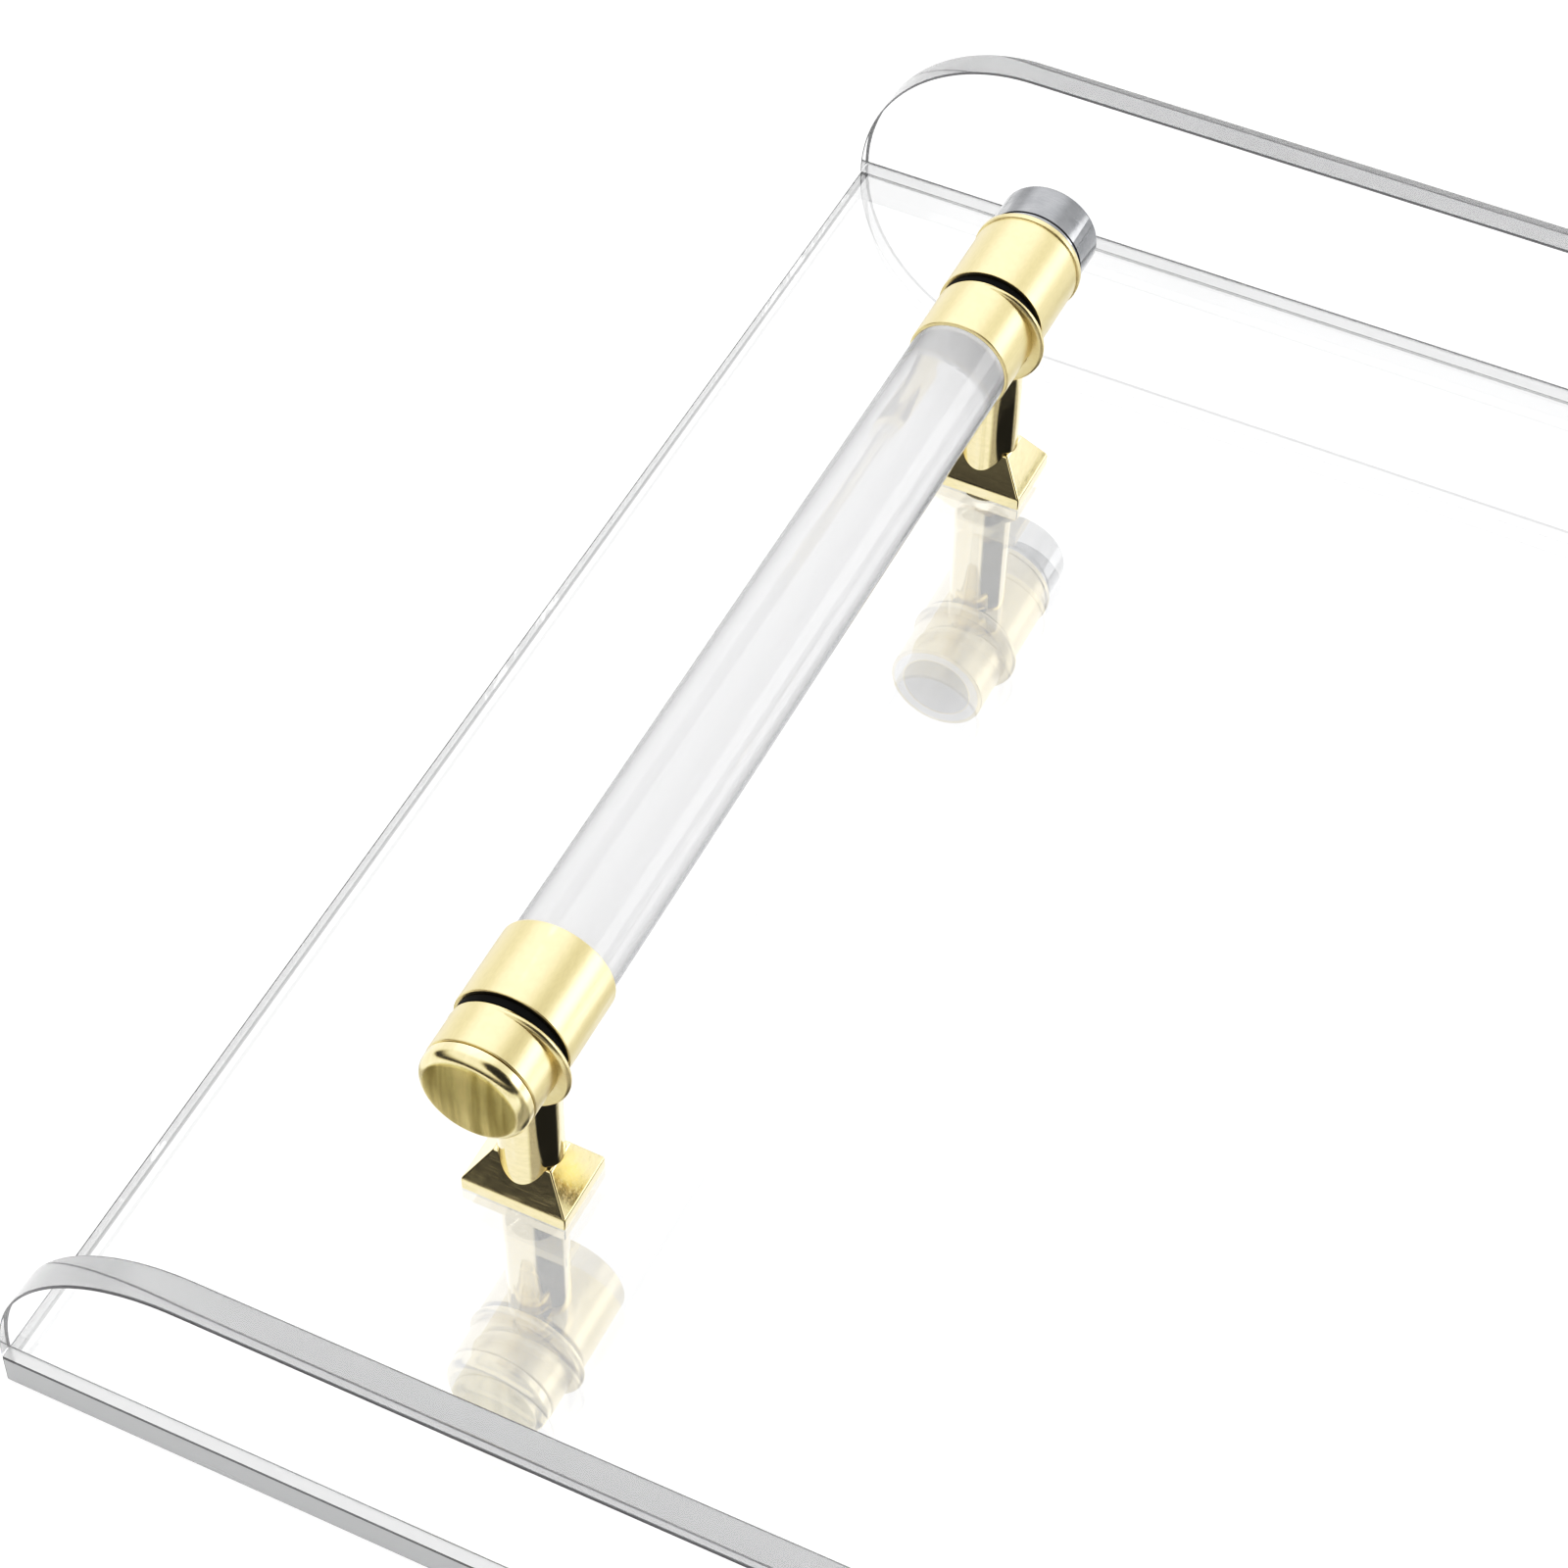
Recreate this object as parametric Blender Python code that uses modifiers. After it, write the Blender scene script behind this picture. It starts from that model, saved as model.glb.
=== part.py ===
"""Clear acrylic serving tray with two rod handles on metal brackets.

The tray is a flat acrylic sheet with a low acrylic wall along each long side and
open ends. A handle stands near each end: a clear rod held by two brackets, each
with a tapered foot, a round post, a sleeve, a black washer, a flanged collar and
an end cap. A countersunk screw from below clamps sheet, foot and post together.

Metres, +Z up. The origin is the centre of the sheet's underside. +X runs along
the tray, +Y across it along the rods.
"""
import bpy
import bmesh
from math import pi, radians, sin, cos
from mathutils import Matrix

MM = 0.001
GAP = 0.3 * MM                      # clearance between two pieces that touch

# ---- tray -----------------------------------------------------------------
TRAY_LENGTH = 400 * MM
TRAY_WIDTH = 280 * MM
SHEET = 5.6 * MM                    # thickness of the sheet and of both walls
WALL_RISE = 31.5 * MM               # top of a wall above the sheet
WALL_CORNER_RADIUS = 30.8 * MM      # each wall's ends sweep down in one quarter round
WALL_ARC_STEPS = 16

# ---- handles ---------------------------------------------------------------
HANDLE_INSET = 50.5 * MM            # rod axis to the tray's end
ROD_AXIS_RISE = 37.1 * MM           # rod axis above the sheet
GOLD_END_POST_Y = -82.0 * MM        # post of the bracket that has the gold cap
SILVER_END_POST_Y = 75.6 * MM       # post of the bracket that has the silver cap
ROD_RADIUS = 8.0 * MM
SPIGOT_RADIUS = 6.0 * MM            # turned-down rod end inside a bracket
BORE_RADIUS = SPIGOT_RADIUS + GAP

# Places along the rod, from the bracket's post axis.
COLLAR_BACK = -5.2 * MM
SLEEVE_FRONT = -3.7 * MM
GOLD_END_COLLAR_FRONT = -12.4 * MM
GOLD_END_SLEEVE_BACK = 9.7 * MM
GOLD_CAP_LENGTH = 3.1 * MM
SILVER_END_COLLAR_FRONT = -16.0 * MM
SILVER_END_SLEEVE_BACK = 11.5 * MM
SILVER_CAP_LENGTH = 8.5 * MM

# ---- bracket pieces --------------------------------------------------------
SLEEVE_RADIUS = 8.85 * MM
SLEEVE_RIM = 0.25 * MM              # raised ring at the silver end's sleeve
COLLAR_RADIUS = 8.4 * MM
FLANGE_RADIUS = 9.5 * MM
FLANGE_THICKNESS = 1.3 * MM
FLANGE_DROP = 1.0 * MM              # the flange hangs below the rod's axis,
FLANGE_SHIFT = 0.7 * MM             # and to the side that faces the tray's middle
WASHER_RADIUS = 8.3 * MM
CAP_RADIUS = 8.3 * MM
STUD_RADIUS = 2.5 * MM
STUD_LENGTH = 8.0 * MM
POST_RADIUS = 4.75 * MM
POST_SPIGOT_RADIUS = 3.0 * MM
FOOT_WIDTH = 16.5 * MM
FOOT_DEPTH = 12.3 * MM
FOOT_EDGE = 2.3 * MM                # upright edge under the slopes
FOOT_RISE = 5.5 * MM                # height of the slopes
FOOT_TOP_WIDTH = 9.0 * MM
FOOT_TOP_DEPTH = 5.8 * MM
FOOT_FLOOR = 2.0 * MM               # metal left under the post

# ---- mounting screws (M4, countersunk) ---------------------------------------
SCREW_RADIUS = 2.0 * MM
SCREW_HEAD_RADIUS = 4.0 * MM
SCREW_RECESS = 0.2 * MM             # head sits this far inside the underside
SCREW_TIP_RISE = 13.0 * MM          # screw tip above the sheet
HEX_SOCKET_RADIUS = 1.45 * MM
HEX_SOCKET_DEPTH = 1.4 * MM

STEPS = 24                          # sides of a round piece
SMALL_STEPS = 12                    # sides of a screw or a stud hole


# ---- scene, collections and materials ---------------------------------------
for old in list(bpy.data.objects):
    bpy.data.objects.remove(old, do_unlink=True)


def new_collection(name):
    collection = bpy.data.collections.new(name)
    bpy.context.scene.collection.children.link(collection)
    return collection


PARTS = new_collection("acrylic_handled_tray")
CUTTERS = new_collection("cutters")


def new_material(name, color, roughness, metallic, alpha=1.0):
    material = bpy.data.materials.new(name)
    material.use_nodes = True
    shader = material.node_tree.nodes["Principled BSDF"]
    shader.inputs["Base Color"].default_value = (*color, 1.0)
    shader.inputs["Roughness"].default_value = roughness
    shader.inputs["Metallic"].default_value = metallic
    shader.inputs["Alpha"].default_value = alpha
    return material


SHEET_ACRYLIC = new_material("clear_sheet", (0.95, 0.96, 0.97), 0.03, 0.0, 0.35)
ROD_ACRYLIC = new_material("clear_rod", (0.86, 0.87, 0.88), 0.05, 0.0, 0.5)
GOLD = new_material("polished_gold", (0.91, 0.78, 0.42), 0.12, 1.0)
SILVER = new_material("polished_silver", (0.72, 0.73, 0.75), 0.12, 1.0)
BLACK_RUBBER = new_material("black_rubber", (0.01, 0.01, 0.01), 0.6, 0.0)
STEEL = new_material("zinc_steel", (0.62, 0.62, 0.64), 0.3, 1.0)


# ---- modelling helpers -------------------------------------------------------
def add_object(name, mesh, material=None, parent=None):
    """Put a mesh in the scene as a part, or as a hidden cutter without a material."""
    obj = bpy.data.objects.new(name, mesh)
    if material is None:
        CUTTERS.objects.link(obj)
        obj.hide_render = True
        obj.display_type = "WIRE"
    else:
        PARTS.objects.link(obj)
        obj.data.materials.append(material)
    obj.parent = parent
    return obj


def block_mesh(name, size, centre):
    """A box as a mesh of its own."""
    bm = bmesh.new()
    bmesh.ops.create_cube(bm, size=1.0)
    bmesh.ops.transform(bm, matrix=Matrix.Diagonal((*size, 1.0)), verts=bm.verts)
    bmesh.ops.translate(bm, vec=centre, verts=bm.verts)
    mesh = bpy.data.meshes.new(name)
    bm.to_mesh(mesh)
    bm.free()
    return mesh


def cylinder_mesh(name, radius, z_low, z_high, steps=STEPS):
    """A capped cylinder round Z."""
    bm = bmesh.new()
    bmesh.ops.create_cone(bm, cap_ends=True, segments=steps, radius1=radius, radius2=radius,
                          depth=z_high - z_low)
    bmesh.ops.translate(bm, vec=(0, 0, (z_low + z_high) / 2), verts=bm.verts)
    mesh = bpy.data.meshes.new(name)
    bm.to_mesh(mesh)
    bm.free()
    return mesh


def turned(name, profile, material=None, parent=None, steps=STEPS, closed=False):
    """Turn a profile of (radius, height) points round Z, listed down the outer side."""
    edges = [(i, i + 1) for i in range(len(profile) - 1)]
    if closed:
        edges.append((len(profile) - 1, 0))
    mesh = bpy.data.meshes.new(name)
    mesh.from_pydata([(radius, 0.0, height) for radius, height in profile], edges, [])
    obj = add_object(name, mesh, material, parent)
    screw = obj.modifiers.new("turn", "SCREW")
    screw.axis = "Z"
    screw.angle = 2 * pi
    screw.steps = steps
    screw.render_steps = steps
    screw.use_merge_vertices = True
    screw.merge_threshold = 0.01 * MM
    screw.use_smooth_shade = True
    return obj


def lay_along_rod(obj, post_y):
    """Turn a piece's own +Z to +Y and put its origin on the rod's axis at a post."""
    obj.rotation_euler = (radians(-90), 0, 0)
    obj.location = (0, post_y, ROD_AXIS_RISE)
    return obj


def boolean(target, cutter, operation="DIFFERENCE"):
    modifier = target.modifiers.new(cutter.name, "BOOLEAN")
    modifier.operation = operation
    modifier.solver = "EXACT"
    modifier.object = cutter


def ring_profile(outer, inner, low, high, chamfer):
    """Closed outline of a plain ring with both outer edges chamfered."""
    return [(outer - chamfer, high), (outer, high - chamfer), (outer, low + chamfer),
            (outer - chamfer, low), (inner, low), (inner, high)]


def dome_points(radius, face, corner, bulge, steps=4):
    """From the axis outwards: a shallow dome, then a rounded edge of a cap.

    face is the height of the dome's middle; the rounded edge ends at full radius.
    """
    rim_height = face - bulge
    points = [(0.0, face)]
    flat = radius - corner
    for i in range(1, 3):
        share = i / 2
        points.append((flat * share, face - bulge * share ** 2))
    for i in range(1, steps + 1):
        angle = i / steps * pi / 2
        points.append((flat + corner * sin(angle), rim_height - corner * (1 - cos(angle))))
    return points


# ---- tray pieces ---------------------------------------------------------------
def make_sheet(screw_places):
    """The flat sheet, with a countersunk clearance hole for each mounting screw."""
    mesh = block_mesh("base_plate", (TRAY_LENGTH, TRAY_WIDTH, SHEET), (0, 0, SHEET / 2))
    sheet = add_object("base_plate", mesh, SHEET_ACRYLIC)
    clear = SCREW_RADIUS + GAP
    mouth = SCREW_HEAD_RADIUS + 2 * GAP
    depth = mouth - clear
    over = 1 * MM
    profile = [(0, SHEET + over), (clear, SHEET + over), (clear, depth), (mouth, 0),
               (mouth, -over), (0, -over)]
    for index, place in enumerate(screw_places):
        cutter = turned(f"cut_screw_hole_{index + 1}", profile, steps=STEPS)
        cutter.location = (*place, 0)
        boolean(sheet, cutter)


def make_wall(name, side):
    """A low wall that stands on the sheet's long edge; side is -1 front, +1 rear."""
    height = WALL_RISE - GAP
    mesh = block_mesh(name, (TRAY_LENGTH, SHEET, height),
                      (0, side * (TRAY_WIDTH - SHEET) / 2, SHEET + GAP + height / 2))
    bm = bmesh.new()
    bm.from_mesh(mesh)
    top = SHEET + WALL_RISE
    ends = [edge for edge in bm.edges
            if all(abs(v.co.z - top) < GAP for v in edge.verts)
            and edge.calc_length() < 2 * SHEET]
    bmesh.ops.bevel(bm, geom=ends, offset=WALL_CORNER_RADIUS, offset_type="OFFSET",
                    segments=WALL_ARC_STEPS, profile=0.5, affect="EDGES", material=-1)
    bm.to_mesh(mesh)
    bm.free()
    add_object(name, mesh, SHEET_ACRYLIC)


# ---- handle pieces ---------------------------------------------------------------
def make_rod(handle, parent):
    """The clear rod: full thickness between the brackets, a spigot in each."""
    shoulder_low = GOLD_END_POST_Y + GOLD_END_SLEEVE_BACK + GAP
    shoulder_high = SILVER_END_POST_Y + SILVER_END_COLLAR_FRONT - GAP
    end_low = GOLD_END_POST_Y + GOLD_END_COLLAR_FRONT
    end_high = SILVER_END_POST_Y + SILVER_END_SLEEVE_BACK
    hole = STUD_RADIUS + GAP
    depth = STUD_LENGTH + 2 * GAP
    profile = [(0, end_high - depth), (hole, end_high - depth), (hole, end_high),
               (SPIGOT_RADIUS, end_high), (SPIGOT_RADIUS, shoulder_high),
               (ROD_RADIUS, shoulder_high), (ROD_RADIUS, shoulder_low),
               (SPIGOT_RADIUS, shoulder_low), (SPIGOT_RADIUS, end_low),
               (hole, end_low), (hole, end_low + depth), (0, end_low + depth)]
    rod = turned(f"{handle}_rod", profile, ROD_ACRYLIC, parent)
    lay_along_rod(rod, 0)


def make_foot(bracket, post_y, parent):
    """Tapered foot: an upright edge, four slopes, and a socket for the post."""
    mesh = block_mesh(f"{bracket}_foot", (FOOT_WIDTH, FOOT_DEPTH, FOOT_EDGE - GAP),
                      (0, 0, (FOOT_EDGE + GAP) / 2))
    bm = bmesh.new()
    bm.from_mesh(mesh)
    top = max(bm.faces, key=lambda face: face.calc_center_median().z)
    lifted = bmesh.ops.extrude_face_region(bm, geom=[top])["geom"]
    verts = [item for item in lifted if isinstance(item, bmesh.types.BMVert)]
    bmesh.ops.delete(bm, geom=[top], context="FACES_ONLY")
    bmesh.ops.translate(bm, vec=(0, 0, FOOT_RISE), verts=verts)
    bmesh.ops.scale(bm, vec=(FOOT_TOP_WIDTH / FOOT_WIDTH, FOOT_TOP_DEPTH / FOOT_DEPTH, 1), verts=verts)
    bm.to_mesh(mesh)
    bm.free()
    foot = add_object(f"{bracket}_foot", mesh, GOLD, parent)
    foot.location = (0, post_y, 0)
    socket = add_object(f"cut_{bracket}_socket", cylinder_mesh(
        "socket", POST_RADIUS + GAP, FOOT_FLOOR, FOOT_EDGE + 2 * FOOT_RISE), parent=parent)
    passage = add_object(f"cut_{bracket}_passage", cylinder_mesh(
        "passage", SCREW_RADIUS + GAP, -FOOT_FLOOR, 2 * FOOT_FLOOR, SMALL_STEPS), parent=parent)
    for cutter in (socket, passage):
        cutter.location = (0, post_y, 0)
        boolean(foot, cutter)


def make_post(bracket, post_y, parent):
    """Round post: saddled under the sleeve, with a spigot up into the sleeve's wall."""
    bottom = FOOT_FLOOR + GAP
    hole = SCREW_RADIUS + GAP
    hole_top = SCREW_TIP_RISE + 2 * GAP
    profile = [(0, ROD_AXIS_RISE), (POST_RADIUS, ROD_AXIS_RISE), (POST_RADIUS, bottom),
               (hole, bottom), (hole, hole_top), (0, hole_top)]
    post = turned(f"{bracket}_post", profile, GOLD, parent)
    post.location = (0, post_y, 0)
    saddle = add_object(f"cut_{bracket}_saddle", cylinder_mesh(
        "saddle", SLEEVE_RADIUS + GAP, -2 * POST_RADIUS, 2 * POST_RADIUS), parent=parent)
    lay_along_rod(saddle, post_y)
    boolean(post, saddle)
    spigot = add_object(f"join_{bracket}_spigot", cylinder_mesh(
        "spigot", POST_SPIGOT_RADIUS, ROD_AXIS_RISE - 2 * SLEEVE_RADIUS,
        ROD_AXIS_RISE - BORE_RADIUS, SMALL_STEPS), parent=parent)
    spigot.location = (0, post_y, 0)
    boolean(post, spigot, "UNION")


def make_sleeve(bracket, post_y, back, rim, parent):
    """Ring round the rod's spigot, standing on the post; rim is a raised end ring."""
    chamfer = 0.3 * MM
    profile = ring_profile(SLEEVE_RADIUS, BORE_RADIUS, SLEEVE_FRONT, back, chamfer)
    if rim:
        rim_low = back - 1.0 * MM
        outer = SLEEVE_RADIUS + rim
        profile[:2] = [(outer, back), (outer, rim_low), (SLEEVE_RADIUS, rim_low)]
    sleeve = turned(f"{bracket}_sleeve", profile, GOLD, parent, closed=True)
    lay_along_rod(sleeve, post_y)
    hole = add_object(f"cut_{bracket}_post_hole", cylinder_mesh(
        "post_hole", POST_SPIGOT_RADIUS + GAP, 0, ROD_AXIS_RISE, SMALL_STEPS), parent=parent)
    hole.location = (0, post_y, 0)
    boolean(sleeve, hole)


def make_washer(bracket, post_y, parent):
    """Black ring that fills the groove between collar and sleeve."""
    profile = ring_profile(WASHER_RADIUS, BORE_RADIUS, COLLAR_BACK + GAP, SLEEVE_FRONT - GAP, 0.1 * MM)
    washer = turned(f"{bracket}_washer", profile, BLACK_RUBBER, parent, closed=True)
    lay_along_rod(washer, post_y)


def make_collar(bracket, post_y, front, parent):
    """Collar in front of the washer, with a flange that hangs low and to one side."""
    chamfer = 0.3 * MM
    profile = [(0, COLLAR_BACK), (COLLAR_RADIUS, COLLAR_BACK), (COLLAR_RADIUS, front + chamfer),
               (COLLAR_RADIUS - chamfer, front), (0, front)]
    collar = turned(f"{bracket}_collar", profile, GOLD, parent)
    lay_along_rod(collar, post_y)
    flange = add_object(f"join_{bracket}_flange", cylinder_mesh(
        "flange", FLANGE_RADIUS, COLLAR_BACK - FLANGE_THICKNESS, COLLAR_BACK), parent=parent)
    lay_along_rod(flange, post_y)
    flange.location.x += FLANGE_SHIFT
    flange.location.z -= FLANGE_DROP
    boolean(collar, flange, "UNION")
    bore = add_object(f"cut_{bracket}_bore", cylinder_mesh(
        "bore", BORE_RADIUS, 2 * front, -COLLAR_BACK), parent=parent)
    lay_along_rod(bore, post_y)
    boolean(collar, bore)


def make_gold_cap(bracket, post_y, parent):
    """Shallow domed cap with a stud that screws into the rod's end."""
    base = GOLD_END_COLLAR_FRONT - GAP
    face = -(base - GOLD_CAP_LENGTH)
    outline = dome_points(CAP_RADIUS, face, corner=1.6 * MM, bulge=0.4 * MM)
    profile = outline + [(CAP_RADIUS, -base), (STUD_RADIUS, -base),
                         (STUD_RADIUS, -base - STUD_LENGTH), (0, -base - STUD_LENGTH)]
    cap = turned(f"{bracket}_cap", profile, GOLD, parent)
    cap.rotation_euler = (radians(90), 0, 0)
    cap.location = (0, post_y, ROD_AXIS_RISE)


def make_silver_cap(bracket, post_y, parent):
    """Longer cap with a base ring, a fine groove and a stud into the rod's end."""
    base = SILVER_END_SLEEVE_BACK + GAP
    face = base + SILVER_CAP_LENGTH
    groove_low = base + 1.2 * MM
    groove_high = groove_low + 0.4 * MM
    groove_radius = CAP_RADIUS - 0.3 * MM
    outline = dome_points(CAP_RADIUS, face, corner=0.6 * MM, bulge=0.2 * MM, steps=2)
    profile = outline + [(CAP_RADIUS, groove_high), (groove_radius, groove_high),
                         (groove_radius, groove_low), (CAP_RADIUS, groove_low),
                         (CAP_RADIUS, base), (STUD_RADIUS, base),
                         (STUD_RADIUS, base - STUD_LENGTH), (0, base - STUD_LENGTH)]
    cap = turned(f"{bracket}_cap", profile, SILVER, parent)
    lay_along_rod(cap, post_y)


def make_screw(bracket, post_y, parent):
    """Countersunk screw with a hexagon socket, up through sheet and foot into the post."""
    low = SCREW_RECESS - SHEET
    cone_top = low + SCREW_HEAD_RADIUS - SCREW_RADIUS
    tip = SCREW_TIP_RISE
    profile = [(0, tip), (SCREW_RADIUS / 2, tip), (SCREW_RADIUS, tip - SCREW_RADIUS / 2),
               (SCREW_RADIUS, cone_top), (SCREW_HEAD_RADIUS, low), (0, low)]
    screw = turned(f"{bracket}_screw", profile, STEEL, parent, steps=SMALL_STEPS)
    screw.location = (0, post_y, 0)
    socket = add_object(f"cut_{bracket}_hex", cylinder_mesh(
        "hex", HEX_SOCKET_RADIUS, low - HEX_SOCKET_DEPTH, low + HEX_SOCKET_DEPTH, 6), parent=parent)
    socket.location = (0, post_y, 0)
    boolean(screw, socket)


def make_bracket(bracket, post_y, collar_front, sleeve_back, sleeve_rim, make_cap, parent):
    make_foot(bracket, post_y, parent)
    make_post(bracket, post_y, parent)
    make_sleeve(bracket, post_y, sleeve_back, sleeve_rim, parent)
    make_washer(bracket, post_y, parent)
    make_collar(bracket, post_y, collar_front, parent)
    make_cap(bracket, post_y, parent)
    make_screw(bracket, post_y, parent)


def make_handle(handle, x, turn):
    """One handle on an empty at the sheet's top; turn spins the whole handle about Z."""
    frame = bpy.data.objects.new(f"{handle}_handle", None)
    PARTS.objects.link(frame)
    frame.location = (x, 0, SHEET)
    frame.rotation_euler = (0, 0, turn)
    make_rod(handle, frame)
    make_bracket(f"{handle}_gold_end", GOLD_END_POST_Y, GOLD_END_COLLAR_FRONT,
                 GOLD_END_SLEEVE_BACK, 0.0, make_gold_cap, frame)
    make_bracket(f"{handle}_silver_end", SILVER_END_POST_Y, SILVER_END_COLLAR_FRONT,
                 SILVER_END_SLEEVE_BACK, SLEEVE_RIM, make_silver_cap, frame)


def main():
    handle_x = TRAY_LENGTH / 2 - HANDLE_INSET
    handles = [("left", -handle_x, 0.0), ("right", handle_x, pi)]
    screw_places = [(x, round(cos(turn)) * post_y)
                    for _, x, turn in handles
                    for post_y in (GOLD_END_POST_Y, SILVER_END_POST_Y)]
    make_sheet(screw_places)
    make_wall("front_wall", -1)
    make_wall("rear_wall", 1)
    for handle, x, turn in handles:
        make_handle(handle, x, turn)


main()
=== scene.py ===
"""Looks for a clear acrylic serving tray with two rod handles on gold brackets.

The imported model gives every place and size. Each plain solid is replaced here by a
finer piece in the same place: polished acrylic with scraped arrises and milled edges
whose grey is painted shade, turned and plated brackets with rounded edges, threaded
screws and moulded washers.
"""
from math import cos, hypot, pi, radians, sin

import bmesh
import bpy
from mathutils import Matrix, Vector


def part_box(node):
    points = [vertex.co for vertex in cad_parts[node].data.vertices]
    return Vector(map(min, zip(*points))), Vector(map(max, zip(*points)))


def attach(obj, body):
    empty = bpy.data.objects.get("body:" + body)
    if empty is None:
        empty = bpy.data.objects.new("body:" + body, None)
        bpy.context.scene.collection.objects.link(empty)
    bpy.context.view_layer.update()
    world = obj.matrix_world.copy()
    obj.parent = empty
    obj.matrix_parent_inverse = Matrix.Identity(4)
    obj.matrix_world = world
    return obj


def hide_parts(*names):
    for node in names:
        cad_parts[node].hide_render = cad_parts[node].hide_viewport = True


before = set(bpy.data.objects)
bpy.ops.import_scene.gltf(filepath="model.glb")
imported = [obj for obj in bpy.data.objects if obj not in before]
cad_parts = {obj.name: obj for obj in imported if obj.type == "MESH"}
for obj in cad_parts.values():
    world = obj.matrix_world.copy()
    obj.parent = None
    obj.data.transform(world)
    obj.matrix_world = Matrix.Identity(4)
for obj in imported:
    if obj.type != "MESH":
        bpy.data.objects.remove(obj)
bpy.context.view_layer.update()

MM = 0.001
HAIRLINE = 0.03 * MM                # what is left between two pieces that touch
AIR_GAP = 0.2 * MM                  # film of air under the sheet

# ---- sizes of details that the plain solids leave out -------------------------
ARRIS = 0.3 * MM                    # scraped edge of the clear sheets
WALL_CORNER_STEPS = 40
METAL_EDGE = 0.22 * MM              # rounding of a turned piece's edges
FOOT_EDGE_ROUND = 0.28 * MM
WASHER_EDGE_ROUND = 0.3 * MM
ROUND_STEPS = 96                    # sides of a large turned piece
SMALL_STEPS = 48                    # sides of a screw or a spigot
GOLD_CAP_CORNER = 1.9 * MM
GOLD_CAP_BULGE = 0.35 * MM
SILVER_CAP_CORNER = 0.7 * MM
SLEEVE_RIM = 0.25 * MM              # raised ring at the end of a silver end's sleeve
RIM_WIDTH = 1.0 * MM
BORE_RADIUS = 6.0 * MM + HAIRLINE   # round the rod's spigot
COLLAR_RADIUS = 8.4 * MM
FLANGE_THICKNESS = 1.3 * MM
STUD_RADIUS = 2.5 * MM              # of a cap's stud in the rod's end
STUD_LENGTH = 8.0 * MM
ROD_BORE_RADIUS = 2.8 * MM          # hole in the rod's end for the stud
ROD_BORE_DEPTH = 8.6 * MM
FOOT_EDGE_HEIGHT = 2.3 * MM         # the foot's upright edge
FOOT_TOP_WIDTH = 9.0 * MM
FOOT_TOP_DEPTH = 5.8 * MM
FOOT_FLOOR = 2.0 * MM               # metal left in the foot under the post
POST_SPIGOT_RADIUS = 3.0 * MM       # from the post up into the sleeve
POST_SPIGOT_TOP = 6.3 * MM          # how far it ends below the rod's axis
SCREW_HOLE_RADIUS = 2.2 * MM        # in the foot and the post
SCREW_HOLE_TOP = 13.6 * MM          # above the sheet
SCREW_PLAY = 0.2 * MM               # between the screw and the sheet's hole
HEX_SOCKET_RADIUS = 1.45 * MM
HEX_SOCKET_DEPTH = 1.4 * MM
THREAD_PITCH = 0.7 * MM
THREAD_DEPTH = 0.38 * MM
ROUNDED_ANGLE = radians(25)         # edges sharper than this are rounded
SMOOTH_ANGLE = radians(40)          # and those sharper than this are shaded as creases

# ---- studio ------------------------------------------------------------------
FLOOR_GLOW = 0.70                   # the pale table's own light
FLOOR_UNDER_SHEET = 0.80            # how bright the table looks through the clear sheet
TABLE_MIRRORED = 0.8                # how bright it is in metal and in the acrylic's edges,
TABLE_ROUND_TRAY = 1.1              # outside the tray,
TABLE_IN_FRONT = 0.42               # along the tray's front,
TABLE_AT_ENDS = 0.2                 # along its open ends,
TABLE_BESIDE_POSTS = 0.02           # and in a dark patch beside each post
SKY_LEVEL = 1.0
SKY_GLOW = 0.45                     # more light from behind on the left, where the sheet mirrors it
GLOW_WAY = (-0.273, 0.593, 0.757)   # towards the middle of that glow
CARD_WAY = (0.60, -0.14, 0.757)     # towards a dark card that the posts mirror
CARD_LEVEL = 0.04                   # share of the sky's light that is left there
DARK_LEVEL = 0.02
FRONT_STRIP = 18 * MM               # the dim strip of table along the tray's front,
FRONT_FADE = 28 * MM                # which is gone this far in
END_STRIP = 12 * MM                 # the dim strip at an open end
PATCH_AWAY = 22 * MM                # from a post to the middle of its dark patch
PATCH_REACH_X = 12 * MM
PATCH_REACH_Y = 20 * MM
TABLE_BLUR = 1 * MM
SOFTBOX_PLACE = (0.75, 0.55, 0.3)
SOFTBOX_AIM = (-0.1, 0, 0.03)
SOFTBOX_SIZE = (0.7, 0.4)
SOFTBOX_POWER = 1.5
CAMERA_LENS = 89.08                 # in mm, for a sensor 36 mm wide
CAMERA_PLACE = (0.0126, -0.3527, 0.4556)
CAMERA_RIGHT = (0.90028, 0.43503, 0.01568)
CAMERA_UP = (-0.33882, 0.67767, 0.65266)
TONE_CURVE = ((0.1, 0.055), (0.3, 0.27), (0.6, 0.68))
TONE_WHITE = (0.92, 1.0)            # from here on everything is white

HANDLES = {"left": 1, "right": -1}  # which way along Y a handle's silver cap points
BRACKET_ENDS = ("gold_end", "silver_end")


# ---- meshes ---------------------------------------------------------------------
def block(low, high):
    """A box between two corners."""
    bm = bmesh.new()
    bmesh.ops.create_cube(bm, size=1.0)
    size = Vector(high) - Vector(low)
    bmesh.ops.scale(bm, vec=size, verts=bm.verts)
    bmesh.ops.translate(bm, vec=(Vector(high) + Vector(low)) / 2, verts=bm.verts)
    return bm


def cylinder(radius, low, high, steps=ROUND_STEPS):
    """A capped cylinder round Z."""
    bm = bmesh.new()
    bmesh.ops.create_cone(bm, cap_ends=True, segments=steps, radius1=radius, radius2=radius,
                          depth=high - low)
    bmesh.ops.translate(bm, vec=(0, 0, (low + high) / 2), verts=bm.verts)
    return bm


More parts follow.
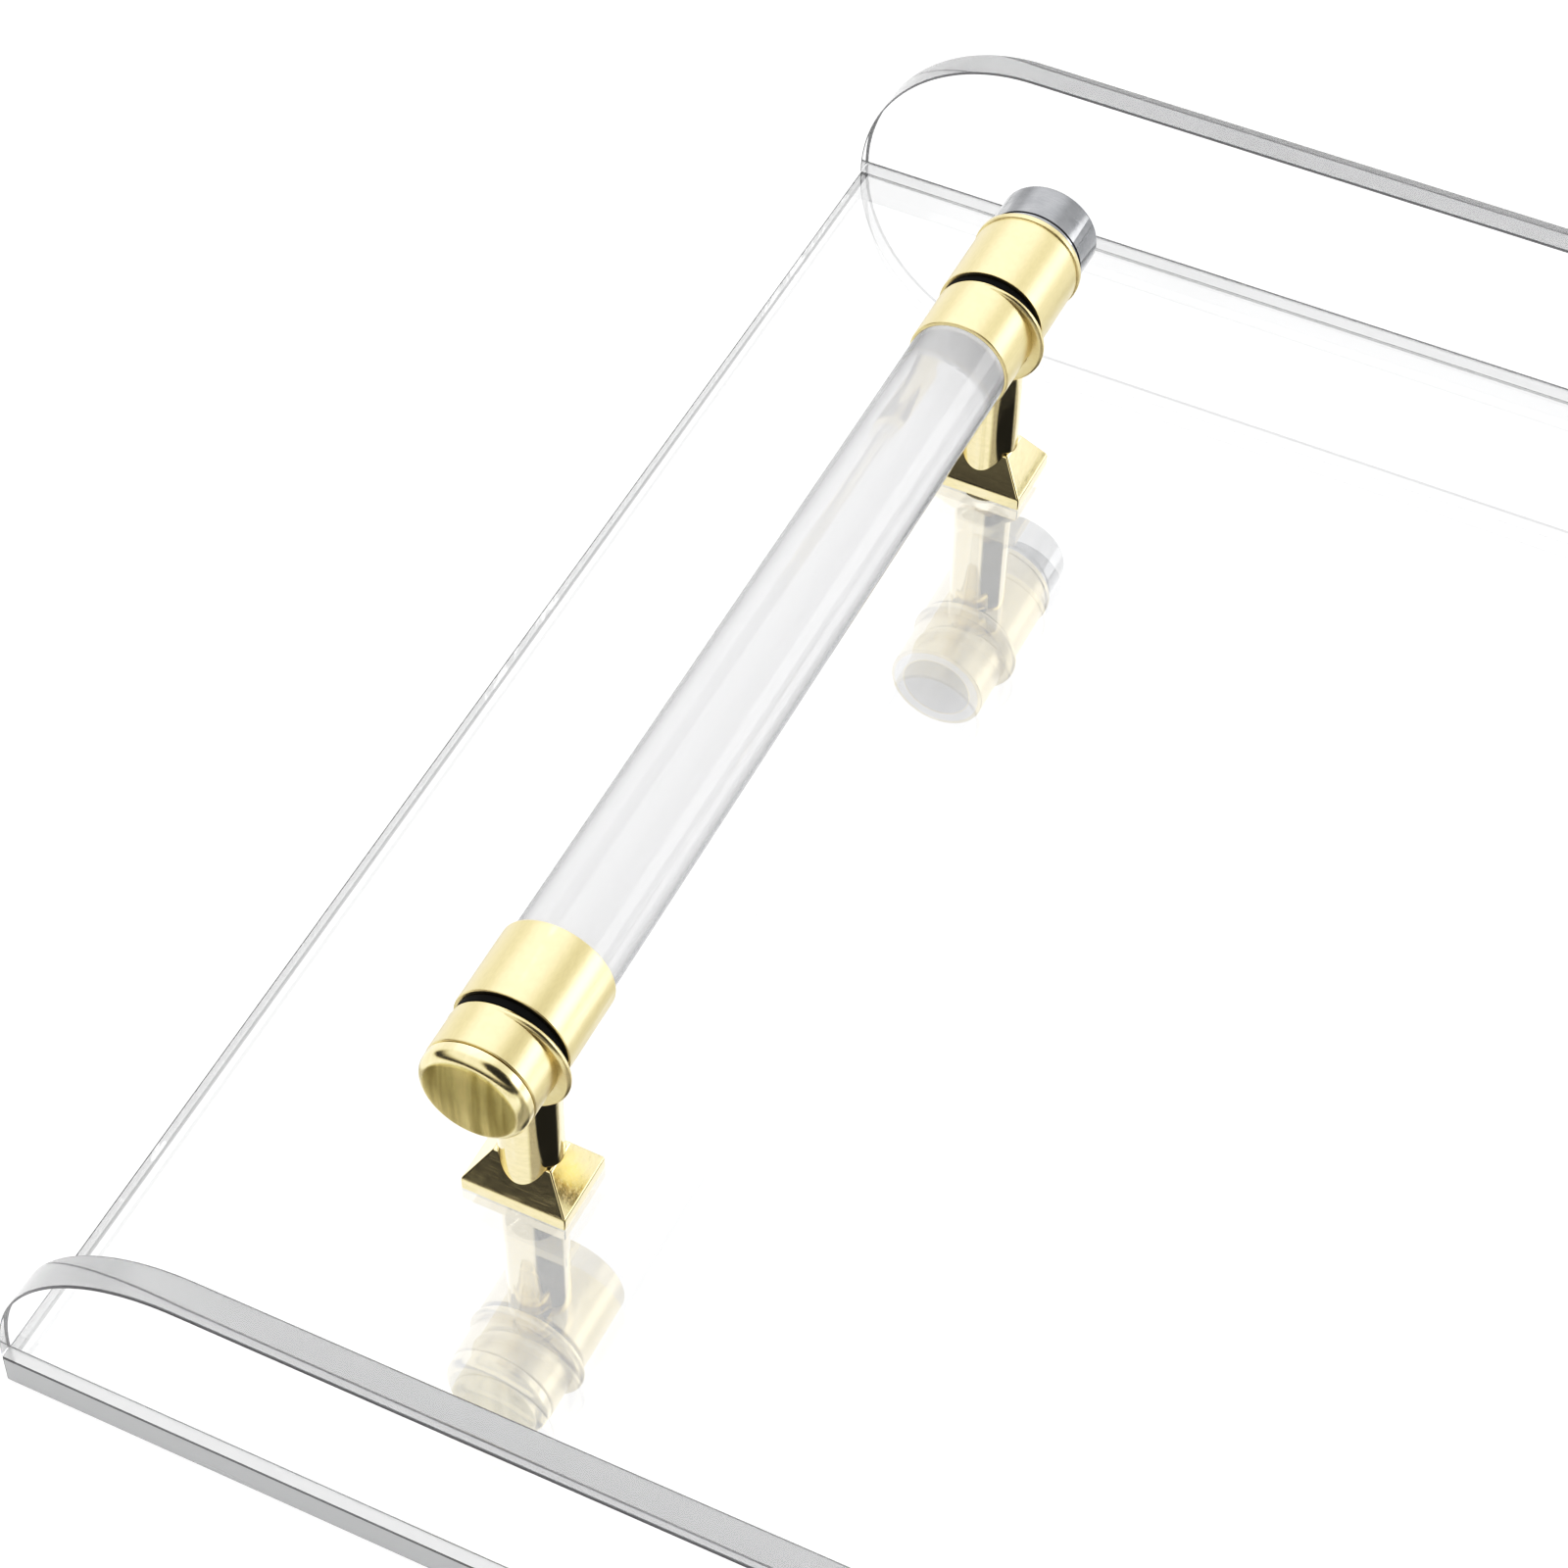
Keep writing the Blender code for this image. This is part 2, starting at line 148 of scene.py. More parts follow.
def turned(profile, closed=False, steps=ROUND_STEPS):
    """Turn an outline of (radius, height) points round Z."""
    bm = bmesh.new()
    verts = [bm.verts.new((radius, 0, height)) for radius, height in profile]
    pairs = list(zip(verts, verts[1:]))
    if closed:
        pairs.append((verts[-1], verts[0]))
    edges = [bm.edges.new(pair) for pair in pairs]
    bmesh.ops.spin(bm, geom=verts + edges, cent=(0, 0, 0), axis=(0, 0, 1), angle=2 * pi,
                   steps=steps, use_merge=True)
    bmesh.ops.remove_doubles(bm, verts=bm.verts, dist=0.001 * MM)
    bmesh.ops.recalc_face_normals(bm, faces=bm.faces)
    return bm


def round_edges(bm, width, wanted=lambda edge: True):
    """Round the sharp edges that a test picks out."""
    sharp = [edge for edge in bm.edges
             if edge.is_manifold and edge.calc_face_angle() > ROUNDED_ANGLE and wanted(edge)]
    bmesh.ops.bevel(bm, geom=sharp, offset=width, offset_type="OFFSET", segments=3,
                    profile=0.5, affect="EDGES", material=-1, clamp_overlap=True)


def outside_bore(edge):
    """Whether an edge of a ring round Z lies clear of its bore."""
    return edge.verts[0].co.xy.length > BORE_RADIUS + MM


def arc(centre_radius, centre_height, radius, start, end, steps):
    """Outline points on an arc; angles run from the +radius direction towards +height."""
    points = []
    for i in range(steps + 1):
        angle = start + (end - start) * i / steps
        points.append((centre_radius + radius * cos(angle), centre_height + radius * sin(angle)))
    return points


def to_object(name, bm):
    """Make an object from a bmesh, which is freed."""
    mesh = bpy.data.meshes.new(name)
    bm.to_mesh(mesh)
    bm.free()
    obj = bpy.data.objects.new(name, mesh)
    bpy.context.scene.collection.objects.link(obj)
    return obj


def cut(obj, cutter_bm, operation="DIFFERENCE"):
    """Cut a shape out of a piece, or join one to it, for good."""
    cutter = to_object("cutter", cutter_bm)
    modifier = obj.modifiers.new("cut", "BOOLEAN")
    modifier.operation = operation
    modifier.solver = "EXACT"
    modifier.object = cutter
    shapes = bpy.context.evaluated_depsgraph_get()
    old = obj.data
    obj.data = bpy.data.meshes.new_from_object(obj.evaluated_get(shapes))
    obj.modifiers.clear()
    bpy.data.meshes.remove(old)
    bpy.data.objects.remove(cutter)


def finish_piece(obj, node, material):
    """Shade a piece, give it its material and put it in the place of its plain solid."""
    obj.data.materials.clear()
    obj.data.materials.append(material)
    obj.data.shade_smooth()
    obj.data.set_sharp_from_angle(angle=SMOOTH_ANGLE)
    flat_faces = obj.modifiers.new("flat faces stay flat", "WEIGHTED_NORMAL")
    flat_faces.weight = 100
    flat_faces.keep_sharp = True
    obj.name = f"{node}_finished"
    obj.data.name = obj.name
    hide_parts(node)
    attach(obj, "root")


def refinish(obj, material, wanted):
    """Give another finish to the faces of a piece that a test picks out."""
    obj.data.materials.append(material)
    for face in obj.data.polygons:
        if wanted(face):
            face.material_index = len(obj.data.materials) - 1


def slanted(face, ways):
    """Whether a face lies across two of the given axes, as an eased edge does."""
    return sum(abs(face.normal[way]) > 0.1 for way in ways) > 1


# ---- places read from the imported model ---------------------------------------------
def middle(node):
    """The middle of a plain solid's box."""
    low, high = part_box(node)
    return (low + high) / 2


class Bracket:
    """Where one bracket stands, and its pieces' places along the rod from its post."""

    def __init__(self, handle, end):
        self.name = f"{handle}_{end}"
        self.turn = HANDLES[handle]
        self.post = middle(f"{self.name}_post")
        self.axis_height = middle(f"{handle}_rod").z
        self.sheet_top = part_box("base_plate")[1].z
        self.sleeve_front, self.sleeve_back = self.along(f"{self.name}_sleeve")
        self.collar_front, self.collar_back = self.along(f"{self.name}_collar")
        cap_front, cap_back = self.along(f"{self.name}_cap")
        self.rim = SLEEVE_RIM if end == "silver_end" else 0.0
        self.sleeve_radius = self.radius("sleeve") - self.rim
        self.cap_face = cap_front if end == "gold_end" else cap_back

    def along(self, node):
        """Both ends of a piece, measured from the post towards the silver end."""
        low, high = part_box(node)
        return sorted(self.turn * (y - self.post.y) for y in (low.y, high.y))

    def radius(self, part):
        """Half the width of a round piece."""
        low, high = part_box(f"{self.name}_{part}")
        return (high.x - low.x) / 2

    def lay_along_rod(self, bm, shift=0.0, sink=0.0):
        """Turn a piece made round Z so that its +Z runs to the silver end on the rod's axis.

        shift moves it along X from the axis, and sink lowers it.
        """
        bmesh.ops.rotate(bm, verts=bm.verts, matrix=Matrix.Rotation(radians(-90), 3, "X"))
        if self.turn < 0:
            bmesh.ops.rotate(bm, verts=bm.verts, matrix=Matrix.Rotation(pi, 3, "Z"))
        place = (self.post.x + shift, self.post.y, self.axis_height - sink)
        bmesh.ops.translate(bm, verts=bm.verts, vec=place)
        return bm

    def centre_on_post(self, bm):
        """Move a piece made round Z to the post's axis, and leave its height."""
        bmesh.ops.translate(bm, verts=bm.verts, vec=(*self.post.xy, 0))
        return bm

    def stand_on_sheet(self, bm):
        """Move a piece made round Z to the post's axis, from the sheet's top upwards."""
        bmesh.ops.translate(bm, verts=bm.verts, vec=(self.post.x, self.post.y, self.sheet_top))
        return bm


# ---- shader helpers -------------------------------------------------------------------
def add(tree, kind, values=None, **settings):
    """Add a node, set its properties and the values of its sockets."""
    node = tree.nodes.new(kind)
    for key, value in settings.items():
        setattr(node, key, value)
    for key, value in (values or {}).items():
        node.inputs[key].default_value = value
    return node


def new_group(name, inputs, outputs):
    """A node group with named sockets; each is (name, kind, default) or (name, kind)."""
    tree = bpy.data.node_groups.new(name, "ShaderNodeTree")
    for label, kind, default in inputs:
        socket = tree.interface.new_socket(label, in_out="INPUT", socket_type=kind)
        socket.default_value = default
    for label, kind in outputs:
        tree.interface.new_socket(label, in_out="OUTPUT", socket_type=kind)
    return tree, tree.nodes.new("NodeGroupInput"), tree.nodes.new("NodeGroupOutput")


def place_group(tree, group, values):
    """Use a node group with the given values; gives its only output, a mask."""
    node = tree.nodes.new("ShaderNodeGroup")
    node.node_tree = group
    for key, value in values.items():
        node.inputs[key].default_value = value
    return node.outputs["Mask"]


def maths(tree, operation, first, second=None, clamp=False):
    """A Math node on sockets or plain numbers; gives its output socket."""
    node = add(tree, "ShaderNodeMath", operation=operation, use_clamp=clamp)
    for index, item in enumerate((first, second)):
        if item is None:
            continue
        if isinstance(item, (int, float)):
            node.inputs[index].default_value = item
        else:
            tree.links.new(item, node.inputs[index])
    return node.outputs[0]


def ramp(tree, source, low, high, out_low=0.0, out_high=1.0):
    """Map a value from low..high to out_low..out_high with smooth ends."""
    node = add(tree, "ShaderNodeMapRange",
               {"From Min": low, "From Max": high, "To Min": out_low, "To Max": out_high},
               interpolation_type="SMOOTHSTEP")
    tree.links.new(source, node.inputs["Value"])
    return node.outputs["Result"]


def noise(tree, coordinates, scale, detail=2.0, stretch=None, turn=(0, 0, 0)):
    """Noise on object coordinates, squeezed along one way where a grain runs."""
    if stretch is not None:
        mapping = add(tree, "ShaderNodeMapping", {"Scale": stretch, "Rotation": turn})
        tree.links.new(coordinates, mapping.inputs["Vector"])
        coordinates = mapping.outputs["Vector"]
    node = add(tree, "ShaderNodeTexNoise", {"Scale": scale, "Detail": detail})
    tree.links.new(coordinates, node.inputs["Vector"])
    return node.outputs["Fac"]


# ---- effects that several finishes share ------------------------------------------------
def make_wipe_marks():
    """Faint smears left by a cloth: a soft mask for roughness."""
    tree, source, result = new_group(
        "wipe_marks", [("Scale", "NodeSocketFloat", 20.0), ("Amount", "NodeSocketFloat", 1.0)],
        [("Mask", "NodeSocketFloat")])
    place = add(tree, "ShaderNodeTexCoord").outputs["Object"]
    broad = add(tree, "ShaderNodeTexNoise", {"Detail": 3.0, "Distortion": 0.6})
    tree.links.new(place, broad.inputs["Vector"])
    tree.links.new(source.outputs["Scale"], broad.inputs["Scale"])
    streaks = noise(tree, place, 60.0, 2.0, stretch=(1.0, 6.0, 2.0), turn=(0, 0, 0.6))
    patches = ramp(tree, broad.outputs["Fac"], 0.42, 0.72)
    mask = maths(tree, "MULTIPLY", patches, ramp(tree, streaks, 0.3, 0.8))
    mask = maths(tree, "MULTIPLY", mask, source.outputs["Amount"], clamp=True)
    tree.links.new(mask, result.inputs["Mask"])
    return tree


def make_hair_scratches():
    """Hair-fine straight scratches in three directions, as a mask."""
    tree, source, result = new_group(
        "hair_scratches", [("Scale", "NodeSocketFloat", 1.0), ("Amount", "NodeSocketFloat", 1.0)],
        [("Mask", "NodeSocketFloat")])
    place = add(tree, "ShaderNodeTexCoord").outputs["Object"]
    sized = add(tree, "ShaderNodeVectorMath", operation="SCALE")
    tree.links.new(place, sized.inputs[0])
    tree.links.new(source.outputs["Scale"], sized.inputs["Scale"])
    total = None
    for turn, squeeze in ((0.3, 60.0), (1.4, 45.0), (2.5, 80.0)):
        lines = noise(tree, sized.outputs[0], 30.0, 0.0, stretch=(1.0, squeeze, 8.0),
                      turn=(0.2, 0.1, turn))
        thin = ramp(tree, lines, 0.735, 0.775)
        total = thin if total is None else maths(tree, "MAXIMUM", total, thin)
    total = maths(tree, "MULTIPLY", total, source.outputs["Amount"], clamp=True)
    tree.links.new(total, result.inputs["Mask"])
    return tree


def make_settled_dust():
    """Specks of dust on what faces up, as a mask."""
    tree, source, result = new_group(
        "settled_dust", [("Scale", "NodeSocketFloat", 900.0), ("Amount", "NodeSocketFloat", 1.0)],
        [("Mask", "NodeSocketFloat")])
    place = add(tree, "ShaderNodeTexCoord").outputs["Object"]
    specks = add(tree, "ShaderNodeTexVoronoi", {"Randomness": 1.0})
    tree.links.new(place, specks.inputs["Vector"])
    tree.links.new(source.outputs["Scale"], specks.inputs["Scale"])
    dots = ramp(tree, specks.outputs["Distance"], 0.16, 0.06)
    patches = ramp(tree, noise(tree, place, 35.0, 2.0), 0.5, 0.75)
    facing = add(tree, "ShaderNodeSeparateXYZ")
    tree.links.new(add(tree, "ShaderNodeNewGeometry").outputs["Normal"], facing.inputs[0])
    upwards = ramp(tree, facing.outputs["Z"], 0.2, 0.9)
    mask = maths(tree, "MULTIPLY", maths(tree, "MULTIPLY", dots, patches), upwards)
    mask = maths(tree, "MULTIPLY", mask, source.outputs["Amount"], clamp=True)
    tree.links.new(mask, result.inputs["Mask"])
    return tree


def make_edge_wear():
    """Rubbed edges: a mask that is strong where the surface turns sharply outwards."""
    tree, source, result = new_group(
        "edge_wear", [("Breakup", "NodeSocketFloat", 150.0), ("Amount", "NodeSocketFloat", 1.0)],
        [("Mask", "NodeSocketFloat")])
    geometry = add(tree, "ShaderNodeNewGeometry")
    edges = ramp(tree, geometry.outputs["Pointiness"], 0.52, 0.60)
    patches = add(tree, "ShaderNodeTexNoise", {"Detail": 3.0})
    tree.links.new(add(tree, "ShaderNodeTexCoord").outputs["Object"], patches.inputs["Vector"])
    tree.links.new(source.outputs["Breakup"], patches.inputs["Scale"])
    broken = ramp(tree, patches.outputs["Fac"], 0.35, 0.65)
    mask = maths(tree, "MULTIPLY", edges, broken)
    mask = maths(tree, "MULTIPLY", mask, source.outputs["Amount"], clamp=True)
    tree.links.new(mask, result.inputs["Mask"])
    return tree


WIPE_MARKS = make_wipe_marks()
HAIR_SCRATCHES = make_hair_scratches()
SETTLED_DUST = make_settled_dust()
EDGE_WEAR = make_edge_wear()


def new_material(name):
    """A new material with its node tree and its main shader."""
    material = bpy.data.materials.new(name)
    material.use_nodes = True
    return material, material.node_tree, material.node_tree.nodes["Principled BSDF"]


def mix_colours(tree, mask, first, second):
    """Two colours mixed by a mask; each is a plain colour or a colour socket."""
    node = add(tree, "ShaderNodeMix", data_type="RGBA", blend_type="MIX")
    tree.links.new(mask, node.inputs["Factor"])
    for key, colour in (("A", first), ("B", second)):
        socket = [s for s in node.inputs if s.name == key and s.type == "RGBA"][0]
        if isinstance(colour, tuple):
            socket.default_value = (*colour, 1.0)
        else:
            tree.links.new(colour, socket)
    return [s for s in node.outputs if s.type == "RGBA"][0]


def bump(tree, height, distance):
    """A surface's unevenness from a height between 0 and 1."""
    node = add(tree, "ShaderNodeBump", {"Distance": distance, "Strength": 1.0})
    tree.links.new(height, node.inputs["Height"])
    return node.outputs["Normal"]


# ---- finishes -----------------------------------------------------------------------------
def acrylic(name, tint, haze, clarity, wave, coat_weight=0.0, coat_ior=1.5, mirrored=True,
            rim=None):
    """Acrylic with wipe marks, hair scratches and a little dust.

    haze is its roughness, clarity the share of light that passes through, and wave the
    depth of the surface's slow unevenness. Without mirrored, a mirroring surface doesn't
    show it. rim is painted shade: a darker colour where a round piece turns away from the
    view, standing in for the shade along its outline.
    """
    material, tree, shader = new_material(name)
    shader.inputs["Transmission Weight"].default_value = clarity
    shader.inputs["IOR"].default_value = 1.49
    shader.inputs["Coat Weight"].default_value = coat_weight
    shader.inputs["Coat IOR"].default_value = coat_ior
    shader.inputs["Coat Roughness"].default_value = 0.0
    wipes = place_group(tree, WIPE_MARKS, {"Scale": 14.0, "Amount": 0.5})
    hairs = place_group(tree, HAIR_SCRATCHES, {"Scale": 1.0, "Amount": 0.6})
    dust = place_group(tree, SETTLED_DUST, {"Scale": 700.0, "Amount": 0.35})
    marks = maths(tree, "ADD", maths(tree, "MULTIPLY", wipes, 0.03),
                  maths(tree, "MULTIPLY", hairs, 0.05))
    marks = maths(tree, "ADD", marks, maths(tree, "MULTIPLY", dust, 0.3))
    rough = maths(tree, "ADD", marks, haze, clamp=True)
    tree.links.new(rough, shader.inputs["Roughness"])
    dusty = tuple(0.88 * channel for channel in tint)
    colour = mix_colours(tree, dust, tint, dusty)
    # painted shade: the colour darkens towards rim where the surface turns away from the view
    if rim:
        turning_away = add(tree, "ShaderNodeLayerWeight", {"Blend": 0.5}).outputs["Facing"]
        colour = mix_colours(tree, ramp(tree, turning_away, 0.45, 0.85), colour, rim)
    tree.links.new(colour, shader.inputs["Base Color"])
    place = add(tree, "ShaderNodeTexCoord").outputs["Object"]
    slow = noise(tree, place, 9.0, 1.0)
    tree.links.new(bump(tree, slow, wave), shader.inputs["Normal"])
    let_through = add(tree, "ShaderNodeBsdfTransparent")
    let_through.inputs["Color"].default_value = (0.97, 0.97, 0.97, 1.0)
    path = add(tree, "ShaderNodeLightPath")
    unseen = path.outputs["Is Shadow Ray"]
    if not mirrored:
        from_outside = maths(tree, "LESS_THAN", path.outputs["Transmission Depth"], 0.5)
        in_mirror = maths(tree, "GREATER_THAN", path.outputs["Glossy Depth"], 0.5)
        unseen = maths(tree, "MAXIMUM", unseen, maths(tree, "MULTIPLY", in_mirror, from_outside))
    choose = add(tree, "ShaderNodeMixShader")
    tree.links.new(unseen, choose.inputs[0])
    tree.links.new(shader.outputs[0], choose.inputs[1])
    tree.links.new(let_through.outputs[0], choose.inputs[2])
    tree.links.new(choose.outputs[0], tree.nodes["Material Output"].inputs["Surface"])
    return material


def metal(name, colour, worn_colour, roughness, grain_scale, grain_stretch, grain_depth,
          painted_reflection_colours=None):
    """Plated metal: polishing grain, cloth marks, hair scratches, rubbed edges, dust and, when end
    face colours are given, a painted reflection on end faces.

    The end face colours are a darker and a lighter tone painted on an end face as a streaked
    reflection of the surroundings, running up and down.
    """
    material, tree, shader = new_material(name)
    shader.inputs["Metallic"].default_value = 1.0
    place = add(tree, "ShaderNodeTexCoord").outputs["Object"]
    grain = noise(tree, place, grain_scale, 3.0, stretch=grain_stretch)
    wipes = place_group(tree, WIPE_MARKS, {"Scale": 90.0, "Amount": 1.0})
    hairs = place_group(tree, HAIR_SCRATCHES, {"Scale": 6.0, "Amount": 0.7})
    rubbed = place_group(tree, EDGE_WEAR, {"Breakup": 260.0, "Amount": 0.5})
    dust = place_group(tree, SETTLED_DUST, {"Scale": 1500.0, "Amount": 0.25})
    rough = maths(tree, "ADD", maths(tree, "MULTIPLY", grain, 0.08), roughness - 0.04)
    rough = maths(tree, "ADD", rough, maths(tree, "MULTIPLY", wipes, 0.07))
    rough = maths(tree, "ADD", rough, maths(tree, "MULTIPLY", dust, 0.4), clamp=True)
    tree.links.new(rough, shader.inputs["Roughness"])
    darker = tuple(channel * 0.93 for channel in colour)
    base = mix_colours(tree, ramp(tree, grain, 0.25, 0.75), darker, colour)
    # painted reflection: dark and light streaks on faces pointing along Y stand in for what an end
    # face mirrors
    if painted_reflection_colours:
        streaks = ramp(tree, noise(tree, place, 110.0, 2.0, stretch=(4.0, 1.0, 0.3)), 0.3, 0.7)
        fine = noise(tree, place, 900.0, 2.0, stretch=(1.6, 1.0, 0.05))
        streaks = maths(tree, "MULTIPLY", streaks, ramp(tree, fine, 0.2, 0.6, 0.75, 1.0))
        facing = add(tree, "ShaderNodeSeparateXYZ")
        tree.links.new(add(tree, "ShaderNodeNewGeometry").outputs["Normal"], facing.inputs[0])
        end_face = ramp(tree, maths(tree, "ABSOLUTE", facing.outputs["Y"]), 0.9, 0.985)
        base = mix_colours(tree, end_face, base, mix_colours(tree, streaks, *painted_reflection_colours))
    base = mix_colours(tree, rubbed, base, worn_colour)
    base = mix_colours(tree, dust, base, (0.55, 0.54, 0.52))
    tree.links.new(base, shader.inputs["Base Color"])
    depth = maths(tree, "SUBTRACT", grain, maths(tree, "MULTIPLY", hairs, 0.6))
    tree.links.new(bump(tree, depth, grain_depth), shader.inputs["Normal"])
    return material


def moulded_rubber():
    """Matt black washer rubber with a fine pitted skin and grey dust."""
    material, tree, shader = new_material("black_washer_rubber")
    place = add(tree, "ShaderNodeTexCoord").outputs["Object"]
    pits = noise(tree, place, 2600.0, 3.0)
    mottle = ramp(tree, noise(tree, place, 320.0, 2.0), 0.35, 0.7)
    dust = place_group(tree, SETTLED_DUST, {"Scale": 1800.0, "Amount": 0.6})
    base = mix_colours(tree, mottle, (0.006, 0.006, 0.006), (0.016, 0.016, 0.017))
    base = mix_colours(tree, dust, base, (0.12, 0.12, 0.11))
    tree.links.new(base, shader.inputs["Base Color"])
    shader.inputs["Specular IOR Level"].default_value = 0.12
    tree.links.new(ramp(tree, mottle, 0.0, 1.0, 0.55, 0.72), shader.inputs["Roughness"])
    tree.links.new(bump(tree, pits, 0.03 * MM), shader.inputs["Normal"])
    return material


SHEET_ACRYLIC = acrylic("clear_sheet_acrylic", tint=(0.985, 0.988, 0.99), haze=0.0, clarity=1.0,
                        wave=0.004 * MM, coat_weight=1.0, coat_ior=3.0)
# the arrises' dark grey tint is painted shade, standing in for the dark surroundings they mirror
ARRIS_ACRYLIC_PAINTED_SHADE = acrylic("arris_acrylic_painted_shade", tint=(0.22, 0.22, 0.225), haze=0.2,
                          clarity=0.3, wave=0.03 * MM)
CEMENTED_ACRYLIC = acrylic("cemented_acrylic_joint", tint=(0.86, 0.862, 0.865), haze=0.1,
                           clarity=0.15, wave=0.03 * MM)
# the long edges' grey tint is painted shade, standing in for the dark surroundings they mirror
EDGE_ACRYLIC_PAINTED_SHADE = acrylic("edge_acrylic_painted_shade", tint=(0.58, 0.585, 0.59), haze=0.25,
                         clarity=0.12, wave=0.03 * MM)
WALL_ACRYLIC = acrylic("clear_wall_acrylic", tint=(0.985, 0.988, 0.99), haze=0.0, clarity=1.0,
                       wave=0.004 * MM)
# the rod's rim colour is painted shade along its outline
ROD_ACRYLIC = acrylic("clear_rod_acrylic", tint=(0.92, 0.92, 0.925), haze=0.03, clarity=0.5,
                      wave=0.02 * MM, mirrored=False, rim=(0.2, 0.2, 0.205))
TURNED_ACRYLIC = acrylic("turned_acrylic_end", tint=(0.96, 0.96, 0.965), haze=0.4, clarity=0.1,
                         wave=0.03 * MM)
SATIN_GOLD = metal("satin_gold", colour=(0.80, 0.69, 0.41), worn_colour=(0.93, 0.84, 0.60),
                   roughness=0.3, grain_scale=900.0, grain_stretch=(1.0, 1.0, 6.0),
                   grain_depth=0.002 * MM)
POLISHED_GOLD = metal("polished_gold", colour=(1.0, 0.87, 0.54), worn_colour=(1.0, 0.90, 0.62),
                      roughness=0.07, grain_scale=700.0, grain_stretch=(1.0, 1.0, 3.0),
                      grain_depth=0.001 * MM)
# the cap's end face gets a painted reflection in dark and light streaks
BRUSHED_GOLD_PAINTED_FACE = metal("brushed_gold", colour=(0.90, 0.79, 0.48), worn_colour=(1.0, 0.90, 0.62),
                     roughness=0.2, grain_scale=420.0, grain_stretch=(5.0, 1.0, 0.5),
                     grain_depth=0.004 * MM, painted_reflection_colours=((0.30, 0.24, 0.07), (0.58, 0.50, 0.24)))
POLISHED_SILVER = metal("polished_silver", colour=(0.32, 0.325, 0.335),
                        worn_colour=(0.62, 0.62, 0.63), roughness=0.07, grain_scale=800.0,
                        grain_stretch=(1.0, 5.0, 1.0), grain_depth=0.001 * MM)
ZINC = metal("zinc_plating", colour=(0.60, 0.61, 0.64), worn_colour=(0.75, 0.75, 0.76),
             roughness=0.28, grain_scale=1400.0, grain_stretch=(1.0, 1.0, 1.0),
             grain_depth=0.004 * MM)
RUBBER = moulded_rubber()


# ---- tray ----------------------------------------------------------------------------------
def countersunk_hole(radius, mouth, thickness):
    """A cutter for a countersunk hole, opening downwards at height 0."""
    over = 1 * MM
    return turned([(0, thickness + over), (radius, thickness + over), (radius, mouth - radius),
                   (mouth, 0), (mouth, -over), (0, -over)], steps=SMALL_STEPS)


def make_sheet(brackets):
    """Flat sheet with milled long edges and scraped arrises, both grey with painted shade, and a
    hole for each screw.
    """
    low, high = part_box("base_plate")
    bm = block(low, high)
    round_edges(bm, ARRIS)
    sheet = to_object("sheet", bm)
    for bracket in brackets:
        head = bracket.radius("screw")
        hole = countersunk_hole(head / 2 + SCREW_PLAY, head + 2 * SCREW_PLAY, high.z)
        cut(sheet, bracket.centre_on_post(hole))
    finish_piece(sheet, "base_plate", SHEET_ACRYLIC)
    edge_x, edge_y = high.x - ARRIS, high.y - ARRIS
    # painted shade: the long edges are coloured grey
    refinish(sheet, EDGE_ACRYLIC_PAINTED_SHADE,
             lambda face: abs(face.normal.y) > 0.9 and abs(face.center.y) > edge_y)
    # painted shade: the arrises are coloured dark grey
    refinish(sheet, ARRIS_ACRYLIC_PAINTED_SHADE,
             lambda face: slanted(face, (0, 1, 2))
             and (abs(face.center.x) > edge_x or abs(face.center.y) > edge_y))


def make_wall(node):
    """A low wall with a quarter-round at each end, scraped arrises grey with painted shade, and a
    cemented underside.
    """
    low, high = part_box(node)
    low.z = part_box("base_plate")[1].z + HAIRLINE
    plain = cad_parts[node]
    corner = high.x - max(v.co.x for v in plain.data.vertices if v.co.z > high.z - 0.01 * MM)
    bm = block(low, high)
    ends = [edge for edge in bm.edges
            if all(v.co.z > high.z - MM for v in edge.verts)
            and abs(edge.verts[0].co.x - edge.verts[1].co.x) < MM]
    bmesh.ops.bevel(bm, geom=ends, offset=corner, offset_type="OFFSET",
                    segments=WALL_CORNER_STEPS, profile=0.5, affect="EDGES", material=-1)
    round_edges(bm, ARRIS)
    wall = to_object("wall", bm)
    finish_piece(wall, node, WALL_ACRYLIC)
    # painted shade: the arrises are coloured dark grey
    refinish(wall, ARRIS_ACRYLIC_PAINTED_SHADE,
             lambda face: slanted(face, (0, 1)) or slanted(face, (1, 2)))
    refinish(wall, CEMENTED_ACRYLIC, lambda face: face.normal.z < -0.9)


# ---- handles -------------------------------------------------------------------------------
def make_rod(handle, gold_end, silver_end):
    """Clear rod: full thickness between the brackets and a turned spigot in each."""
    node = f"{handle}_rod"
    low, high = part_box(node)
    radius = (high.x - low.x) / 2
    spigot = radius - 2 * MM
    bore, depth = ROD_BORE_RADIUS, ROD_BORE_DEPTH
    shift = abs(silver_end.post.y - gold_end.post.y)
    shoulder_low = gold_end.sleeve_back + HAIRLINE
    shoulder_high = shift + silver_end.collar_front - HAIRLINE
    end_low = gold_end.collar_front + HAIRLINE
    end_high = shift + silver_end.sleeve_back - HAIRLINE
    bm = turned([(0, end_high - depth), (bore, end_high - depth), (bore, end_high),
                 (spigot, end_high), (spigot, shoulder_high), (radius, shoulder_high),
                 (radius, shoulder_low), (spigot, shoulder_low), (spigot, end_low),
                 (bore, end_low), (bore, end_low + depth), (0, end_low + depth)], steps=128)
    round_edges(bm, ARRIS)
    rod = to_object("rod", gold_end.lay_along_rod(bm))
    finish_piece(rod, node, ROD_ACRYLIC)
    axis_x, axis_z = gold_end.post.x, gold_end.axis_height
    refinish(rod, TURNED_ACRYLIC,
             lambda face: hypot(face.center.x - axis_x, face.center.z - axis_z)
             < radius - 2 * ARRIS)


